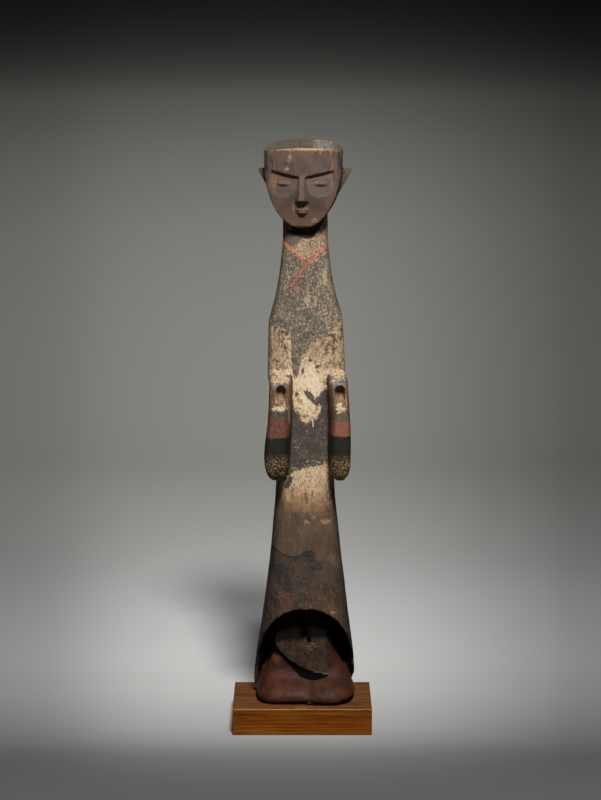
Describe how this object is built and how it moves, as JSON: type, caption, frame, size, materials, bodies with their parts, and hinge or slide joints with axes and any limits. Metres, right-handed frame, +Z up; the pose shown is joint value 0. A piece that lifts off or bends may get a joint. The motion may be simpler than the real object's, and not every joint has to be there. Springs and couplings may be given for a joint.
{
  "type": "carved wooden court attendant figurine",
  "caption": "Slender standing figure carved from one piece of wood, with hanging sleeves, empty hand sockets and an arched robe hem, resting on a small block base.",
  "frame": {"origin": "centre of the base's underside", "axes": "+Z up, the figure faces -Y, +X towards the figure's left hand"},
  "size_m": [0.1536, 0.108, 0.6486],
  "materials": {
    "painted_wood": "aged dark wood with worn red, black and cream paint, matte",
    "base_wood": "satin orange-brown hardwood block"
  },
  "bodies": {
    "root": {"attendant_figure": "painted_wood", "wooden_base": "base_wood"}
  },
  "joints": []
}
